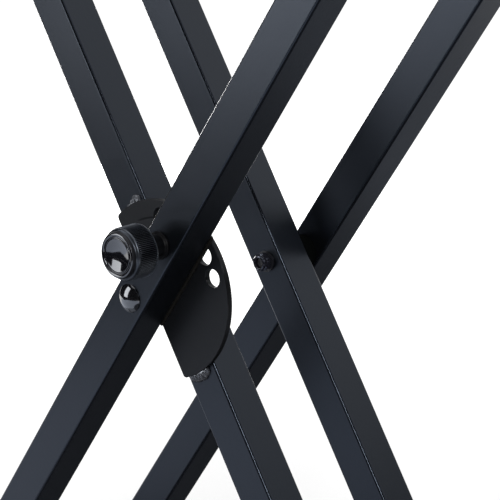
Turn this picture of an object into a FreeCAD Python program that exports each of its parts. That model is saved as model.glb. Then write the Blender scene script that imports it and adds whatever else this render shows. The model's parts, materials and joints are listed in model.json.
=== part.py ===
import FreeCAD, Part
import math
import os

os.makedirs("parts", exist_ok=True)

# ---------------------------------------------------------------------------
# Folding keyboard stand with double-braced X legs.
# Frame: +Z up, feet on Z = 0, X = 0 in the plane of the pivots, front is -Y.
# Both frames are drawn upright about the pivot and then leaned into place.
# ---------------------------------------------------------------------------

V = FreeCAD.Vector

# stance
HALF_ANGLE = 33.5          # lean of each leg from upright
STEP_ANGLE = 9.0           # half angle per disc hole
HEIGHT_STEPS = (-2, -1, 0, 1, 2)

# square tubes
LEG_SIDE = 30.0
LEG_WALL = 1.5
LEG_CORNER = 2.0
LEG_LENGTH = 950.0
TOP_SIDE = 25.0
TOP_WALL = 1.5
TOP_CORNER = 2.0

# stack through the pivots, front to back
WEAR_T = 1.4               # wear plate behind the front leg
RUB_GAP = 0.1              # between faces that slide on each other
DISC_T = 4.4
BRACE_GAP = 75.1           # between the two inner legs
SPACER_T = 11.8            # gap between the third and the fourth leg

# pivot fastenings
PIVOT_D = 8.0
PIVOT_HOLE_D = PIVOT_D + 0.4
BUSH_WALL = 2.0
BUSH_D = PIVOT_D + 2 * BUSH_WALL
BUSH_FIT = 0.02
SEAT_FIT = 0.02            # between seated pieces of one body
PIVOT_FIT = 0.05
CARRIAGE_HEAD_D = 20.65
CARRIAGE_HEAD_H = 4.9
CARRIAGE_RIM = 0.8
CARRIAGE_NECK = 8.3
CARRIAGE_NECK_H = 3.6
CARRIAGE_NECK_HOLE = CARRIAGE_NECK + 0.2
NUT_AF = 13.0
NUT_HEX_H = 5.2
NUT_COLLAR_H = 2.4
NUT_COLLAR_D = 11.6
NUT_BORE_D = PIVOT_D + 0.1
PIVOT_WASHER_D = 16.0
PIVOT_WASHER_T = 1.6
BOLT_TIP_BACK = 1.2        # bolt end inside the nut's collar
SPACER_D = 26.0

# locking disc
PIN_D = 12.6
LOCK_FIT = 0.35            # round the engaged pin
DISC_R = 65.3
DISC_CHORD = 14.3          # straight side, behind the pivot
DISC_CORNER = 3.0
HOLE_INSET = 12.2          # from the rim to the lock holes' pitch circle
HOLE_R = DISC_R - HOLE_INSET
HOLE_D = PIN_D + 2 * LOCK_FIT
WELD_WIDTH = 6.0
WELD_H = 2.5
WELD_SEAT = 0.02           # between the disc's rim and the beads
WELD_ARCS = ((87.7, 7.2), (-91.5, 8.7))    # middle and half length, degrees

# wear plate along the front leg
WEAR_OVERHANG = 1.4
WEAR_SIDE = LEG_SIDE + 2 * WEAR_OVERHANG
WEAR_BELOW = 22.0          # below the pivot
WEAR_ABOVE = 15.0          # above the lock pin's axis
WEAR_CORNER = 2.0

# lock plunger, sizes along its axis measured from the leg's front face
PIN_HOLE_FIT = 0.1
PIN_CLEAR = 0.5            # from the drawn pin's tip to the disc
PIN_TIP = LEG_SIDE + WEAR_T + RUB_GAP - PIN_CLEAR
PIN_SHOULDER = -4.0
PIN_CHAMFER = 1.4
STEM_D = 7.9
STEM_FIT = 0.2
HOUSING_FIT = 0.2
HOUSING_WALL = 1.75
HOUSING_BORE_D = PIN_D + 2 * HOUSING_FIT
HOUSING_D = HOUSING_BORE_D + 2 * HOUSING_WALL
HOUSING_OUT = 18.3
HOUSING_END_T = 3.5
HOUSING_FLANGE_D = HOUSING_D + 3.6
HOUSING_FLANGE_T = 2.0
SPIGOT_WALL = 0.9
SPIGOT_D = HOUSING_BORE_D + 2 * SPIGOT_WALL
SPIGOT_IN = 8.0
SPIGOT_FIT = 0.1

# knob
KNOB_REAR = -18.7
KNOB_R = 18.5
KNOB_RIM_R = KNOB_R + 0.3
KNOB_RIM_T = 1.2
KNOB_FRONT = -37.1
KNURL_END = KNOB_FRONT + 2.5
KNURL_DEPTH = 0.45
KNURL_COUNT = 90
RECESS_FIT = 1.35          # round the housing that the knob slides over
KNOB_RECESS_R = HOUSING_D / 2.0 + RECESS_FIT
KNOB_WEB_FRONT = KNOB_FRONT + 4.4
KNOB_WEB_REAR = KNOB_WEB_FRONT + 4.5
KNOB_CUP_R = 10.5
KNOB_BORE_FIT = 0.06
CLIP_R = 6.4
CLIP_T = 1.4
CLIP_GAP = 0.15
STEM_NUT_AF = 13.0
STEM_NUT_H = 3.6
CAP_R = 16.0
KNOB_NECK_R = CAP_R + 0.2
CAP_RING_R = CAP_R - 1.7
CAP_RING_MINOR = 1.65
CAP_GROOVE_R = CAP_R - 3.5
CAP_DISH_DEPTH = 1.5
CAP_SKIRT_FIT = 0.2
CAP_SKIRT_R = KNOB_CUP_R - CAP_SKIRT_FIT
CAP_SKIRT_WALL = 1.6
CAP_SKIRT_IN = 1.6

# spring round the stem
SPRING_WIRE = 1.2
SPRING_FIT = 0.55          # between the coil and the stem
SPRING_MEAN_D = STEM_D + SPRING_WIRE + 2 * SPRING_FIT
SPRING_TURNS = 4
SPRING_STEPS = 12          # straight steps per turn
SPRING_END_GAP = 0.3

# foot bars
FOOT_FRONT = -223.0
FOOT_REAR = 196.0
FOOT_CAP_R = 23.0          # distance from the bar's axis to each sole flat
FOOT_CAP_END_T = 5.0
FOOT_CAP_FRONT = FOOT_FRONT - FOOT_CAP_END_T
FOOT_CAP_L = 43.0
FOOT_CAP_FIT = 0.05

# turning leveller at the rear end of each foot bar
PLUG_IN = 20.0
PLUG_FLANGE_T = 2.0
PLUG_CLEAR = 0.1
LEVEL_SPIGOT_D = 24.0
LEVEL_FIT = 0.08
LEVEL_OFFSET = 2.5
LEVEL_GAP = 0.3            # between the plug's flange and the cap
LEVEL_END = FOOT_REAR + 32.0
LEVEL_RECESS_R = 16.5
LEVEL_RECESS_L = 5.7
LEVEL_PLAY = 0.1           # the cap's end play under the washer
LEVEL_SPIGOT_L = LEVEL_END - LEVEL_RECESS_L + LEVEL_PLAY - FOOT_REAR - PLUG_FLANGE_T
LEVEL_WASHER_D = 2 * LEVEL_RECESS_R - 3.0
LEVEL_WASHER_T = 1.6
LEVEL_SCREW_D = 5.9
LEVEL_SCREW_L = 20.0
LEVEL_SCREW_HEAD_D = 12.0
LEVEL_SCREW_HEAD_H = 3.2

# top bars
TOP_HALF = 165.0
SLEEVE_R = 20.5
SLEEVE_EDGE = 1.2
SLEEVE_FIT = 0.05
SLEEVE_END = TOP_HALF - 3.0
SLEEVE_LEG_GAP = 4.5       # between a leg's outer face and the sleeve beside it
TOP_CAP_R = 26.0
TOP_CAP_T = 5.0
TOP_CAP_IN = 16.0
TOP_CAP_CLEAR = 0.1

# bolts between legs and bars
BAR_BOLT_D = 7.9
BAR_HOLE_D = BAR_BOLT_D + 0.5
BAR_WASHER_D = 16.0
BAR_WASHER_T = 1.5
BAR_HEAD_D = 15.0
BAR_HEAD_H = 4.0
BAR_HEAD_RIM = 0.7
BAR_BOLT_IN = 21.0
LEG_PLUG_L = 24.0
LEG_PLUG_HOLE_D = BAR_BOLT_D + 0.1
SOCKET_AF = 5.0
SOCKET_DEPTH = 2.4

# depths of the faces, from the front of the stand
DISC_Y = LEG_SIDE + WEAR_T + RUB_GAP
INNER_FRONT_Y = DISC_Y + DISC_T
INNER_REAR_Y = INNER_FRONT_Y + LEG_SIDE + BRACE_GAP
OUTER_REAR_Y = INNER_REAR_Y + LEG_SIDE + SPACER_T
DEPTH = OUTER_REAR_Y + LEG_SIDE
Y0 = -DEPTH / 2.0

Y_OUTER_FRONT = Y0
Y_WEAR = Y0 + LEG_SIDE
Y_DISC = Y0 + DISC_Y
Y_INNER_FRONT = Y0 + INNER_FRONT_Y
Y_INNER_REAR = Y0 + INNER_REAR_Y
Y_OUTER_REAR = Y0 + OUTER_REAR_Y

LEG_HALF = LEG_LENGTH / 2.0
FOOT_Z = -(LEG_HALF + LEG_SIDE / 2.0)
TOP_Z = LEG_HALF + TOP_SIDE / 2.0
LEAN = math.radians(HALF_ANGLE)
PIVOT_Z = FOOT_CAP_R - FOOT_Z * math.cos(LEAN)

print("pivot height", round(PIVOT_Z, 3))
print("depth over legs", round(DEPTH, 3))


# --------------------------------------------------------------------- tools
def rounded_square(side, radius, half_x=None):
    """Closed face of a square with rounded corners in the XY plane."""
    hx = side / 2.0 if half_x is None else half_x
    hy = side / 2.0
    r = radius
    s = r * math.sqrt(0.5)
    pts = []
    edges = []
    for cx, cy, a in ((hx - r, hy - r, 0), (r - hx, hy - r, 90),
                      (r - hx, r - hy, 180), (hx - r, r - hy, 270)):
        t = math.radians(a)
        u = V(math.cos(t), math.sin(t), 0)
        w = V(-math.sin(t), math.cos(t), 0)
        c = V(cx, cy, 0)
        pts.append((c + u * r, c + (u + w) * s, c + w * r))
    for i, (a, m, b) in enumerate(pts):
        edges.append(Part.Arc(a, m, b).toShape())
        edges.append(Part.LineSegment(b, pts[(i + 1) % 4][0]).toShape())
    return Part.Face(Part.Wire(edges))


def square_bar(side, corner, length):
    """Solid square bar along +Z from Z = 0."""
    return rounded_square(side, corner).extrude(V(0, 0, length))


def square_tube(side, wall, corner, length):
    """Square tube along +Z from Z = 0."""
    outer = square_bar(side, corner, length)
    inner = square_bar(side - 2 * wall, max(corner - wall, 0.4), length)
    return outer.cut(inner)


def along_y(shape):
    """Turns a shape built along +Z so that it runs along +Y."""
    out = shape.copy()
    out.rotate(V(0, 0, 0), V(1, 0, 0), -90)
    return out


def at(shape, x=0.0, y=0.0, z=0.0):
    out = shape.copy()
    out.translate(V(x, y, z))
    return out


def rod(diameter, y_from, y_to, x=0.0, z=0.0):
    """Cylinder along Y between two depths."""
    return Part.makeCylinder(diameter / 2.0, y_to - y_from, V(x, y_from, z), V(0, 1, 0))


def ring(outer_d, inner_d, y_from, y_to, x=0.0, z=0.0):
    return rod(outer_d, y_from, y_to, x, z).cut(rod(inner_d, y_from - 1, y_to + 1, x, z))


def turned(profile, x=0.0, z=0.0):
    """Solid of revolution about the Y axis; profile is a list of (radius, y)."""
    pts = [V(r, y, 0) for r, y in profile]
    face = Part.Face(Part.makePolygon(pts + [pts[0]]))
    return at(face.revolve(V(0, 0, 0), V(0, 1, 0), 360), x, 0, z)


def turned_wire(edges, x=0.0, z=0.0):
    """Solid of revolution about the Y axis from a closed chain of edges."""
    face = Part.Face(Part.Wire(edges))
    return at(face.revolve(V(0, 0, 0), V(0, 1, 0), 360), x, 0, z)


def line(a, b):
    return Part.LineSegment(V(a[0], a[1], 0), V(b[0], b[1], 0)).toShape()


def arc(a, m, b):
    return Part.Arc(V(a[0], a[1], 0), V(m[0], m[1], 0), V(b[0], b[1], 0)).toShape()


def crown(r, y_edge, y_top):
    """Arc of a sphere cap centred on the Y axis, from its edge to its top."""
    h = y_top - y_edge
    big = (r * r + h * h) / (2.0 * abs(h))
    drop = big - math.sqrt(big * big - r * r / 4.0)
    return arc((r, y_edge), (r / 2.0, y_top - math.copysign(drop, h)), (0, y_top))


def hexagon(af, y_from, y_to, x=0.0, z=0.0):
    r = af / math.sqrt(3.0)
    pts = []
    for i in range(7):
        t = math.radians(60.0 * i)
        pts.append(V(x + r * math.cos(t), y_from, z + r * math.sin(t)))
    return Part.Face(Part.makePolygon(pts)).extrude(V(0, y_to - y_from, 0))


def cut_all(shape, tools):
    for tool in tools:
        shape = shape.cut(tool)
    return shape


def group(shapes):
    """Several separate solids kept as one named node."""
    solids = []
    for shape in shapes:
        solids.extend(shape.Solids)
    return solids[0] if len(solids) == 1 else Part.makeCompound(solids)


def lean(shape, side):
    """Leans an upright frame piece: +1 outer frame, -1 inner frame."""
    out = shape.copy()
    out.rotate(V(0, 0, 0), V(0, 1, 0), side * HALF_ANGLE)
    out.translate(V(0, 0, PIVOT_Z))
    return out


def save(name, shape, side):
    placed = lean(shape, side)
    for solid in placed.Solids:
        if not solid.isValid():
            print("not valid:", name)
    placed.exportStep("parts/" + name + ".step")
    print(name, len(placed.Solids), round(placed.Volume / 1000.0, 2), "cm3")


# --------------------------------------------------------------- square legs
def leg(y_front, cutters):
    tube = square_tube(LEG_SIDE, LEG_WALL, LEG_CORNER, LEG_LENGTH)
    tube = at(tube, 0, y_front + LEG_SIDE / 2.0, -LEG_HALF)
    return cut_all(tube, cutters)


def leg_plugs(y_front):
    """Tapped blocks that close the two ends of a leg."""
    side = LEG_SIDE - 2 * LEG_WALL - 2 * PLUG_CLEAR
    y = y_front + LEG_SIDE / 2.0
    block = square_bar(side, 0.6, LEG_PLUG_L)
    hole = Part.makeCylinder(LEG_PLUG_HOLE_D / 2.0, LEG_PLUG_L + 2, V(0, 0, -1))
    block = block.cut(hole)
    return [at(block, 0, y, -LEG_HALF), at(block, 0, y, LEG_HALF - LEG_PLUG_L)]


# ---------------------------------------------------------------- fastenings
def carriage_bolt(y_face, y_end, facing=1):
    """Bolt whose domed head lies on the face at y_face, shank towards y_end."""
    r = CARRIAGE_HEAD_D / 2.0
    edges = [
        line((0, 0), (r, 0)),
        line((r, 0), (r, -CARRIAGE_RIM)),
        crown(r, -CARRIAGE_RIM, -CARRIAGE_HEAD_H),
        line((0, -CARRIAGE_HEAD_H), (0, 0)),
    ]
    head = turned_wire(edges)
    length = abs(y_end - y_face)
    c = CARRIAGE_NECK / 2.0
    neck = Part.makeBox(2 * c, CARRIAGE_NECK_H, 2 * c, V(-c, 0, -c))
    shank = turned([
        (0, 0), (PIVOT_D / 2.0, 0), (PIVOT_D / 2.0, length - 0.8),
        (PIVOT_D / 2.0 - 0.8, length), (0, length)])
    bolt = head.fuse([neck, shank]).removeSplitter()
    if facing < 0:
        bolt.rotate(V(0, 0, 0), V(0, 0, 1), 180)
    return at(bolt, 0, y_face, 0)


def neck_hole(y_from, y_to):
    c = CARRIAGE_NECK_HOLE / 2.0
    return Part.makeBox(2 * c, y_to - y_from, 2 * c, V(-c, y_from, -c))


def lock_nut(y_face, facing=1):
    """Nut with a locking collar, seated at y_face and pointing along facing * Y."""
    body = hexagon(NUT_AF, 0, NUT_HEX_H)
    corner = NUT_AF / math.sqrt(3.0)
    cone = turned([
        (0, -0.1), (corner - 0.6, -0.1), (corner + 0.2, 0.7),
        (corner + 0.2, NUT_HEX_H - 1.0), (NUT_COLLAR_D / 2.0, NUT_HEX_H),
        (0, NUT_HEX_H)])
    body = body.common(cone)
    rc = NUT_COLLAR_D / 2.0
    top = NUT_HEX_H + NUT_COLLAR_H
    collar = turned([
        (0, NUT_HEX_H - 0.2), (rc, NUT_HEX_H - 0.2), (rc, top - 1.2),
        (rc - 0.35, top - 0.35), (rc - 1.2, top), (0, top)])
    nut = body.fuse(collar).removeSplitter()
    nut = nut.cut(rod(NUT_BORE_D, -1, top + 1))
    if facing < 0:
        nut.rotate(V(0, 0, 0), V(0, 0, 1), 180)
    return at(nut, 0, y_face, 0)


def nut_end(y_face, facing=1):
    """Where a pivot bolt ends inside its nut's collar."""
    return y_face + facing * (NUT_HEX_H + NUT_COLLAR_H - BOLT_TIP_BACK)


# ------------------------------------------------------- bars, bolts and caps
def foot_bar(leg_fronts):
    bar = square_tube(LEG_SIDE, LEG_WALL, LEG_CORNER, FOOT_REAR - FOOT_FRONT)
    bar = at(along_y(bar), 0, FOOT_FRONT, FOOT_Z)
    for y in leg_fronts:
        hole = Part.makeCylinder(
            BAR_HOLE_D / 2.0, LEG_SIDE + 4,
            V(0, y + LEG_SIDE / 2.0, FOOT_Z - LEG_SIDE / 2.0 - 2))
        bar = bar.cut(hole)
    return bar


def top_bar(leg_fronts):
    bar = square_tube(TOP_SIDE, TOP_WALL, TOP_CORNER, 2 * TOP_HALF)
    bar = at(along_y(bar), 0, -TOP_HALF, TOP_Z)
    for y in leg_fronts:
        hole = Part.makeCylinder(
            BAR_HOLE_D / 2.0, TOP_SIDE + 4,
            V(0, y + LEG_SIDE / 2.0, TOP_Z - TOP_SIDE / 2.0 - 2))
        bar = bar.cut(hole)
    return bar


def bar_bolt(length):
    """Domed socket bolt along +Z, underside of the head at Z = 0."""
    r = BAR_HEAD_D / 2.0
    h = BAR_HEAD_H
    head = turned([
        (0, 0), (r, 0), (r, -BAR_HEAD_RIM), (r * 0.86, -h * 0.72),
        (r * 0.52, -h), (0, -h)])
    head = head.cut(hexagon(SOCKET_AF, -BAR_HEAD_H - 1, -BAR_HEAD_H + SOCKET_DEPTH))
    shank = turned([
        (0, -0.2), (BAR_BOLT_D / 2.0, -0.2), (BAR_BOLT_D / 2.0, length - 0.8),
        (BAR_BOLT_D / 2.0 - 0.8, length), (0, length)])
    bolt = head.fuse(shank).removeSplitter()
    bolt.rotate(V(0, 0, 0), V(1, 0, 0), 90)
    return bolt


def bar_bolts(leg_fronts):
    """The four bolts that hold a foot bar and a top bar to two legs."""
    bolts = []
    washers = []
    low = FOOT_Z - LEG_SIDE / 2.0
    high = TOP_Z + TOP_SIDE / 2.0
    plain = Part.makeCylinder(BAR_WASHER_D / 2.0, BAR_WASHER_T)
    plain = plain.cut(Part.makeCylinder(BAR_HOLE_D / 2.0, BAR_WASHER_T))
    for y in leg_fronts:
        yc = y + LEG_SIDE / 2.0
        foot = bar_bolt(LEG_SIDE + BAR_WASHER_T + BAR_BOLT_IN)
        bolts.append(at(foot, 0, yc, low - BAR_WASHER_T))
        top = bar_bolt(TOP_SIDE + BAR_WASHER_T + BAR_BOLT_IN)
        top.rotate(V(0, 0, 0), V(1, 0, 0), 180)
        bolts.append(at(top, 0, yc, high + BAR_WASHER_T))
        washers.append(at(plain, 0, yc, low - BAR_WASHER_T))
        washers.append(at(plain, 0, yc, high))
    return bolts, washers


def foot_cap(side):
    """Rubber cap over the bar's front end, with a flat for each height."""
    half_step = math.radians(STEP_ANGLE / 2.0)
    r = FOOT_CAP_R / math.cos(half_step)
    length = FOOT_CAP_L
    cap = turned([
        (0, 0), (r - 1.5, 0), (r, 1.5), (r, length - 0.8),
        (r - 0.8, length), (0, length)])
    for step in HEIGHT_STEPS:
        a = side * math.radians(HALF_ANGLE + step * STEP_ANGLE)
        flat = Part.makeBox(20, length + 2, 5, V(-10, -1, -FOOT_CAP_R - 5))
        flat.rotate(V(0, 0, 0), V(0, 1, 0), -math.degrees(a))
        cap = cap.cut(flat)
    cap = at(cap, 0, FOOT_CAP_FRONT, FOOT_Z)
    cavity = square_bar(LEG_SIDE + 2 * FOOT_CAP_FIT, LEG_CORNER, length)
    cavity = at(along_y(cavity), 0, FOOT_FRONT, FOOT_Z)
    return cap.cut(cavity)


def level_plug():
    """Plug in the rear end of a foot bar, with a round spigot outside."""
    side = LEG_SIDE - 2 * LEG_WALL - 2 * PLUG_CLEAR
    shank = at(along_y(square_bar(side, 0.6, PLUG_IN)), 0, FOOT_REAR - PLUG_IN, FOOT_Z)
    flange = at(along_y(square_bar(LEG_SIDE, LEG_CORNER, PLUG_FLANGE_T)),
                0, FOOT_REAR, FOOT_Z)
    y = FOOT_REAR + PLUG_FLANGE_T
    spigot = rod(LEVEL_SPIGOT_D, y, y + LEVEL_SPIGOT_L, 0, FOOT_Z)
    plug = shank.fuse([flange, spigot]).removeSplitter()
    end = y + LEVEL_SPIGOT_L
    return plug.cut(rod(LEVEL_SCREW_D + 0.1, end - LEVEL_SCREW_L - 2, end + 1, 0, FOOT_Z))


def level_offset(side):
    """Centre of the eccentric cap: level with the bar's axis, towards the middle."""
    a = side * LEAN
    return V(side * LEVEL_OFFSET * math.cos(a), 0, side * LEVEL_OFFSET * math.sin(a))


def level_cap(side):
    """Round rubber cap that turns on the plug's spigot, off its centre."""
    y = FOOT_REAR + PLUG_FLANGE_T + LEVEL_GAP
    length = LEVEL_END - y
    r = FOOT_CAP_R
    cap = turned([
        (0, y), (r - 0.8, y), (r, y + 0.8), (r, y + length - 1.5),
        (r - 1.5, y + length), (0, y + length)])
    cap.translate(level_offset(side))
    cap.translate(V(0, 0, FOOT_Z))
    bore = rod(LEVEL_SPIGOT_D + 2 * LEVEL_FIT, y - 1, LEVEL_END + 1, 0, FOOT_Z)
    recess = rod(2 * LEVEL_RECESS_R, LEVEL_END - LEVEL_RECESS_L, LEVEL_END + 1, 0, FOOT_Z)
    return cap.cut(bore).cut(recess)


def level_fixings():
    y = FOOT_REAR + PLUG_FLANGE_T + LEVEL_SPIGOT_L
    washer = ring(LEVEL_WASHER_D, LEVEL_SCREW_D + 0.3, y, y + LEVEL_WASHER_T, 0, FOOT_Z)
    h = y + LEVEL_WASHER_T
    r = LEVEL_SCREW_HEAD_D / 2.0
    top = h + LEVEL_SCREW_HEAD_H
    head = turned([
        (0, h), (r, h), (r, h + 1.2), (r * 0.8, h + 2.6), (r * 0.45, top), (0, top)],
        0, FOOT_Z)
    cross = LEVEL_SCREW_HEAD_D * 0.55
    slot = 1.3
    depth = 1.8
    slot_a = Part.makeBox(cross, 2.0, slot, V(-cross / 2, top - depth, FOOT_Z - slot / 2))
    slot_b = Part.makeBox(slot, 2.0, cross, V(-slot / 2, top - depth, FOOT_Z - cross / 2))
    shank = rod(LEVEL_SCREW_D, h - LEVEL_SCREW_L, h + 0.1, 0, FOOT_Z)
    screw = head.fuse(shank).removeSplitter().cut(slot_a).cut(slot_b)
    return washer, screw


def top_sleeves(start):
    """Two rubber sleeves that the keyboard lies on, one near each end."""
    length = SLEEVE_END - start
    r = SLEEVE_R
    e = SLEEVE_EDGE
    sleeve = turned([
        (0, 0), (r - e, 0), (r, e), (r, length - e), (r - e, length), (0, length)])
    hole = along_y(square_bar(TOP_SIDE + 2 * SLEEVE_FIT, TOP_CORNER, length + 2))
    sleeve = sleeve.cut(at(hole, 0, -1, 0))
    return [at(sleeve, 0, -SLEEVE_END, TOP_Z), at(sleeve, 0, start, TOP_Z)]


def top_caps():
    """Round end caps that stand up past the sleeves and stop the keyboard."""
    side = TOP_SIDE - 2 * TOP_WALL - 2 * TOP_CAP_CLEAR
    plug = at(along_y(square_bar(side, 0.6, TOP_CAP_IN + 0.5)), 0, -TOP_CAP_IN, 0)
    r = TOP_CAP_R
    t = TOP_CAP_T
    cap = turned([
        (0, 0), (r - 0.6, 0), (r, 0.6), (r, t - 2.4), (r - 0.75, t - 0.85),
        (r - 2.6, t - 0.2), (0, t)])
    cap = cap.fuse(plug).removeSplitter()
    rear = at(cap, 0, TOP_HALF, TOP_Z)
    front = cap.copy()
    front.rotate(V(0, 0, 0), V(0, 0, 1), 180)
    return [at(front, 0, -TOP_HALF, TOP_Z), rear]


# -------------------------------------------------------------- locking disc
def lock_angles():
    """Angles of the disc's holes from the inner leg's +X side."""
    return [90.0 - 2.0 * (HALF_ANGLE + s * STEP_ANGLE) for s in HEIGHT_STEPS]


def locking_disc():
    disc = Part.makeCylinder(DISC_R, DISC_T, V(0, Y_DISC, 0), V(0, 1, 0))
    disc = disc.cut(Part.makeBox(
        DISC_R, DISC_T + 2, 2 * DISC_R, V(-DISC_CHORD - DISC_R, Y_DISC - 1, -DISC_R)))
    corners = []
    for edge in disc.Edges:
        a, b = (v.Point for v in edge.Vertexes[:1] + edge.Vertexes[-1:])
        if abs(abs(a.y - b.y) - DISC_T) < 1e-6 and abs(a.x + DISC_CHORD) < 1e-6:
            corners.append(edge)
    disc = disc.makeFillet(DISC_CORNER, corners)
    for angle in lock_angles():
        t = math.radians(angle)
        hole = rod(HOLE_D, Y_DISC - 1, Y_DISC + DISC_T + 1,
                   HOLE_R * math.cos(t), HOLE_R * math.sin(t))
        disc = disc.cut(hole)
    return disc.cut(rod(BUSH_D + 2 * BUSH_FIT, Y_DISC - 1, Y_DISC + DISC_T + 1))


def disc_welds():
    """Beads along the rim where it crosses the leg, above and below the pivot."""
    y = Y_INNER_FRONT
    inner = DISC_R + WELD_SEAT
    outer = DISC_R + WELD_WIDTH
    beads = []
    for middle, half_arc in WELD_ARCS:
        edges = [
            line((inner, y), (inner, y - WELD_H)),
            arc((inner, y - WELD_H), (inner + WELD_WIDTH * 0.62, y - WELD_H * 0.72),
                (outer, y)),
            line((outer, y), (inner, y)),
        ]
        face = Part.Face(Part.Wire(edges))
        face.rotate(V(0, 0, 0), V(0, 1, 0), -(middle - half_arc))
        beads.append(face.revolve(V(0, 0, 0), V(0, 1, 0), -2 * half_arc))
    return beads


# ------------------------------------------------------------------- plunger
# built about its own axis, then moved up the leg to HOLE_R
def place_plunger(shape):
    return at(shape, 0, Y_OUTER_FRONT, HOLE_R)


def plunger_housing():
    end = -HOUSING_OUT
    r = HOUSING_D / 2.0
    f = HOUSING_FLANGE_D / 2.0
    b = HOUSING_BORE_D / 2.0
    s = STEM_D / 2.0 + STEM_FIT
    return turned([
        (s, end), (r - 1.0, end), (r, end + 1.0), (r, -HOUSING_FLANGE_T - 0.8),
        (r + 0.8, -HOUSING_FLANGE_T), (f - 0.6, -HOUSING_FLANGE_T),
        (f, -HOUSING_FLANGE_T + 0.6), (f, 0), (SPIGOT_D / 2.0, 0),
        (SPIGOT_D / 2.0, SPIGOT_IN), (b, SPIGOT_IN),
        (b, end + HOUSING_END_T), (s, end + HOUSING_END_T)])


def stem_end():
    return KNOB_WEB_FRONT - CLIP_GAP - STEM_NUT_H - 0.3


def lock_pin():
    r = PIN_D / 2.0
    s = STEM_D / 2.0
    return turned([
        (0, stem_end()), (s - 0.6, stem_end()), (s, stem_end() + 0.6),
        (s, PIN_SHOULDER), (r - 0.4, PIN_SHOULDER), (r, PIN_SHOULDER + 0.4),
        (r, PIN_TIP - PIN_CHAMFER), (r - PIN_CHAMFER, PIN_TIP), (0, PIN_TIP)])


def pin_clip():
    y = KNOB_WEB_REAR + CLIP_GAP
    clip = ring(2 * CLIP_R, STEM_D + 2 * SEAT_FIT, y, y + CLIP_T)
    gap = Part.makeBox(2.6, CLIP_T + 2, 8, V(-1.3, y - 1, 1))
    return clip.cut(gap)


def stem_nut():
    y = KNOB_WEB_FRONT - CLIP_GAP
    nut = hexagon(STEM_NUT_AF, y - STEM_NUT_H, y)
    return nut.cut(rod(STEM_D + 2 * SEAT_FIT, y - STEM_NUT_H - 1, y + 1))


def pin_spring():
    """Closed tube wound round the stem, between the housing end and the pin.

    The tube has six sides and turns in straight steps, one section per step.
    """
    y_from = -HOUSING_OUT + HOUSING_END_T + SPRING_WIRE / 2.0 + SPRING_END_GAP
    y_to = PIN_SHOULDER - SPRING_WIRE / 2.0 - SPRING_END_GAP
    steps = SPRING_TURNS * SPRING_STEPS
    sections = []
    for i in range(steps + 1):
        turn = math.radians(360.0 * i / SPRING_STEPS)
        out = V(math.cos(turn), 0, math.sin(turn))
        middle = out * (SPRING_MEAN_D / 2.0) + V(0, y_from + (y_to - y_from) * i / steps, 0)
        corners = []
        for k in range(7):
            t = math.radians(60.0 * (k % 6))
            corners.append(middle + out * (SPRING_WIRE / 2.0 * math.cos(t))
                           + V(0, SPRING_WIRE / 2.0 * math.sin(t), 0))
        sections.append(Part.makePolygon(corners))
    pitch = (y_to - y_from) / SPRING_TURNS
    print("spring gap between turns", round(pitch - SPRING_WIRE, 3))
    return Part.makeLoft(sections, True, True)


def knurled_band(y_from, y_to):
    pts = []
    n = 2 * KNURL_COUNT
    for i in range(n + 1):
        t = math.radians(360.0 * (i % n) / n)
        r = KNOB_R - (KNURL_DEPTH if i % 2 else 0.0)
        pts.append(V(r * math.cos(t), y_from, r * math.sin(t)))
    return Part.Face(Part.makePolygon(pts)).extrude(V(0, y_to - y_from, 0))


def knob_body():
    rear = KNOB_REAR
    root = KNOB_R - KNURL_DEPTH
    core = turned([
        (0, rear), (KNOB_RIM_R - 0.4, rear), (KNOB_RIM_R, rear - 0.4),
        (KNOB_RIM_R, rear - KNOB_RIM_T), (root - 0.2, rear - KNOB_RIM_T - 0.3),
        (root - 0.2, KNURL_END), (KNOB_R - 0.1, KNURL_END), (KNOB_R - 0.5, KNURL_END - 0.7),
        (KNOB_NECK_R, KNOB_FRONT), (0, KNOB_FRONT)])
    body = core.fuse(knurled_band(KNURL_END + 0.02, rear - KNOB_RIM_T)).removeSplitter()
    recess = rod(2 * KNOB_RECESS_R, KNOB_WEB_REAR, rear + 1)
    cup = rod(2 * KNOB_CUP_R, KNOB_FRONT - 1, KNOB_WEB_FRONT)
    bore = rod(STEM_D + 2 * KNOB_BORE_FIT, KNOB_WEB_FRONT - 1, KNOB_WEB_REAR + 1)
    return cut_all(body, (recess, cup, bore))


def knob_cap():
    """Glossy cap: raised ring round a dished middle, with a skirt in the knob."""
    y = KNOB_FRONT
    ring_y = y - 1.3
    m = CAP_RING_MINOR
    inner = CAP_GROOVE_R
    groove_y = ring_y - 0.35
    edges = [
        line((0, y), (CAP_RING_R, y)),
        line((CAP_RING_R, y), (CAP_R - 0.15, y)),
        arc((CAP_R - 0.15, y), (CAP_RING_R + m * 0.72, ring_y - m * 0.70),
            (CAP_RING_R, ring_y - m)),
        arc((CAP_RING_R, ring_y - m), (CAP_RING_R - m * 0.75, ring_y - m * 0.75),
            (inner, groove_y)),
        line((inner, groove_y), (inner - 0.4, groove_y - 0.9)),
        crown(inner - 0.4, groove_y - 0.9, groove_y - 0.9 + CAP_DISH_DEPTH),
        line((0, groove_y - 0.9 + CAP_DISH_DEPTH), (0, y)),
    ]
    skirt = ring(2 * CAP_SKIRT_R, 2 * (CAP_SKIRT_R - CAP_SKIRT_WALL), y - 0.2,
                 y + CAP_SKIRT_IN)
    return turned_wire(edges).fuse(skirt).removeSplitter()


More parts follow.
